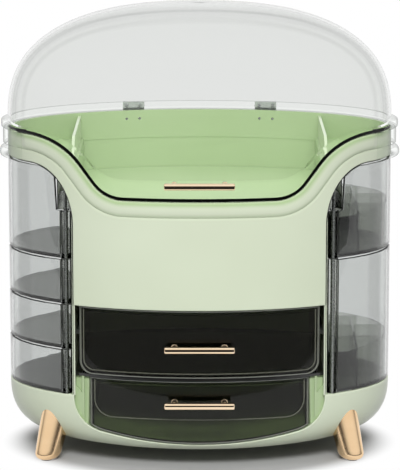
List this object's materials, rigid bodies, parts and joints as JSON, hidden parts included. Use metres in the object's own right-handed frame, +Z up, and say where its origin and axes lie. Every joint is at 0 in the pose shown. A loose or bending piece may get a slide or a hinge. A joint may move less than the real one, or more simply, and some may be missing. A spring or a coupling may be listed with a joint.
{
  "type": "vanity organizer with drawers",
  "caption": "Oval vanity organizer with a hinged clear domed lid, front drawers, side trays that swing out on posts, and splayed feet.",
  "frame": {"origin": "on the table under the centre of the organizer, between the feet", "axes": "+Z up, front faces -Y, +X to the viewer's right"},
  "size_m": [0.36, 0.237, 0.404],
  "materials": {
    "green_shell": "glossy",
    "gold_trim": "polished",
    "clear_window": "clear moulded plastic",
    "smoke_tray": "glossy, smoke tinted",
    "drawer_tub": "glossy, clear grey",
    "clear_partition": "clear",
    "hinge_metal": "satin",
    "steel_hardware": "satin",
    "foot_rubber": "matte",
    "slide_plastic": "satin"
  },
  "bodies": {
    "organizer_body": {"base_bowl": "green_shell", "base_deck": "green_shell", "bay_ceiling": "green_shell", "cabinet_back": "green_shell", "cabinet_left_wall": "green_shell", "cabinet_right_wall": "green_shell", "clear_collar": "clear_window", "drawer_housing": "green_shell", "drawer_shelf": "green_shell", "foot_pads": "foot_rubber", "foot_screws": "steel_hardware", "front_fascia": "green_shell", "front_left_foot": "gold_trim", "front_right_foot": "gold_trim", "hinge_body_screws": "steel_hardware", "hinge_pins": "steel_hardware", "left_bearing_block": "smoke_tray", "left_hinge_body_leaf": "hinge_metal", "left_partition": "clear_partition", "left_post": "steel_hardware", "lower_drawer_guides": "slide_plastic", "post_washers": "slide_plastic", "rear_band": "green_shell", "rear_left_foot": "gold_trim", "rear_right_foot": "gold_trim", "right_bearing_block": "smoke_tray", "right_hinge_body_leaf": "hinge_metal", "right_partition": "clear_partition", "right_post": "steel_hardware", "top_tray": "green_shell", "upper_drawer_guides": "slide_plastic"},
    "lid": {"hinge_lid_screws": "steel_hardware", "left_hinge_lid_leaf": "hinge_metal", "lid_dome": "clear_window", "lid_handle": "gold_trim", "lid_handle_screws": "steel_hardware", "right_hinge_lid_leaf": "hinge_metal"},
    "upper_drawer": {"upper_drawer_box": "drawer_tub", "upper_drawer_front": "drawer_tub", "upper_drawer_handle": "gold_trim", "upper_drawer_screws": "steel_hardware"},
    "lower_drawer": {"lower_drawer_box": "smoke_tray", "lower_drawer_front": "smoke_tray", "lower_drawer_handle": "gold_trim", "lower_drawer_screws": "steel_hardware"},
    "left_tier_1": {"left_tray_1": "smoke_tray", "left_window_1": "clear_window"},
    "left_tier_2": {"left_tray_2": "smoke_tray", "left_window_2": "clear_window"},
    "left_tier_3": {"left_tray_3": "smoke_tray", "left_window_3": "clear_window"},
    "left_tier_4": {"left_tray_4": "smoke_tray", "left_window_4": "clear_window"},
    "upper_right_tier": {"upper_right_bin": "smoke_tray", "upper_right_rack": "smoke_tray", "upper_right_window": "clear_window"},
    "lower_right_tier": {"lower_right_bin": "smoke_tray", "lower_right_rack": "smoke_tray", "lower_right_window": "clear_window"}
  },
  "joints": [
    {"name": "lid_hinge", "type": "hinge", "parent": "organizer_body", "child": "lid", "pos_m": [0, 0.1155, 0.2922], "axis": [-1, 0, 0], "range_deg": [0, 100]},
    {"name": "upper_drawer_slide", "type": "slide", "parent": "organizer_body", "child": "upper_drawer", "axis": [0, -1, 0], "range_m": [0, 0.13]},
    {"name": "lower_drawer_slide", "type": "slide", "parent": "organizer_body", "child": "lower_drawer", "axis": [0, -1, 0], "range_m": [0, 0.13]},
    {"name": "left_tier_1_swing", "type": "hinge", "parent": "organizer_body", "child": "left_tier_1", "pos_m": [-0.1178, -0.07262, 0.1], "axis": [0, 0, 1], "range_deg": [0, 90]},
    {"name": "left_tier_2_swing", "type": "hinge", "parent": "organizer_body", "child": "left_tier_2", "pos_m": [-0.1178, -0.07262, 0.1], "axis": [0, 0, 1], "range_deg": [0, 90]},
    {"name": "left_tier_3_swing", "type": "hinge", "parent": "organizer_body", "child": "left_tier_3", "pos_m": [-0.1178, -0.07262, 0.1], "axis": [0, 0, 1], "range_deg": [0, 90]},
    {"name": "left_tier_4_swing", "type": "hinge", "parent": "organizer_body", "child": "left_tier_4", "pos_m": [-0.1178, -0.07262, 0.1], "axis": [0, 0, 1], "range_deg": [0, 90]},
    {"name": "upper_right_swing", "type": "hinge", "parent": "organizer_body", "child": "upper_right_tier", "pos_m": [0.1178, -0.07262, 0.1], "axis": [0, 0, -1], "range_deg": [0, 90]},
    {"name": "lower_right_swing", "type": "hinge", "parent": "organizer_body", "child": "lower_right_tier", "pos_m": [0.1178, -0.07262, 0.1], "axis": [0, 0, -1], "range_deg": [0, 90]}
  ]
}
